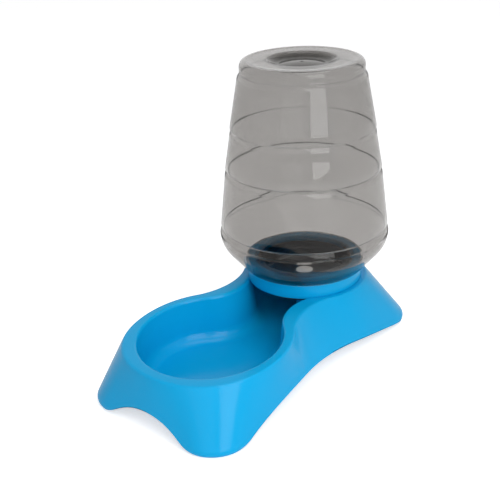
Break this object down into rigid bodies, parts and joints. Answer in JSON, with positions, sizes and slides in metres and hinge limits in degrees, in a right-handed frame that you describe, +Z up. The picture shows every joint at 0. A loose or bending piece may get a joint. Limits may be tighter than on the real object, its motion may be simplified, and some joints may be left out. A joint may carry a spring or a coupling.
{
  "type": "gravity pet water dispenser",
  "caption": "Free-standing water bowl for pets, fed by an upturned clear bottle through a sprung valve in its screw cap.",
  "frame": {"origin": "on the floor, under the middle of the base's length and width", "axes": "+Z up, -Y towards the bowl, +Y towards the bottle, +X to the right when the bowl is in front"},
  "size_m": [0.1698, 0.3288, 0.2852],
  "materials": {
    "blue_moulding": "moulded blue plastic with a soft gloss",
    "blue_ring": "moulded blue plastic with a soft gloss",
    "smoke_bottle": "clear blown plastic tinted smoke grey",
    "black_cap": "black moulded plastic",
    "gasket_rubber": "soft dark rubber",
    "valve_plastic": "white moulded plastic",
    "spring_steel": "stainless spring wire"
  },
  "bodies": {
    "base": {"base": "blue_moulding", "bottle_seat": "blue_ring", "bottle": "smoke_bottle", "screw_cap": "black_cap", "cap_gasket": "gasket_rubber", "valve_spring": "spring_steel"},
    "valve": {"valve_stem": "valve_plastic", "valve_seal": "gasket_rubber", "stem_foot": "valve_plastic"}
  },
  "joints": [
    {"name": "valve_slide", "type": "slide", "parent": "base", "child": "valve", "axis": [0, 0, 1], "range_m": [0, 0.0025], "stiffness_N_per_m": 400, "springref_m": -0.004, "deforming": ["valve_spring"]}
  ]
}
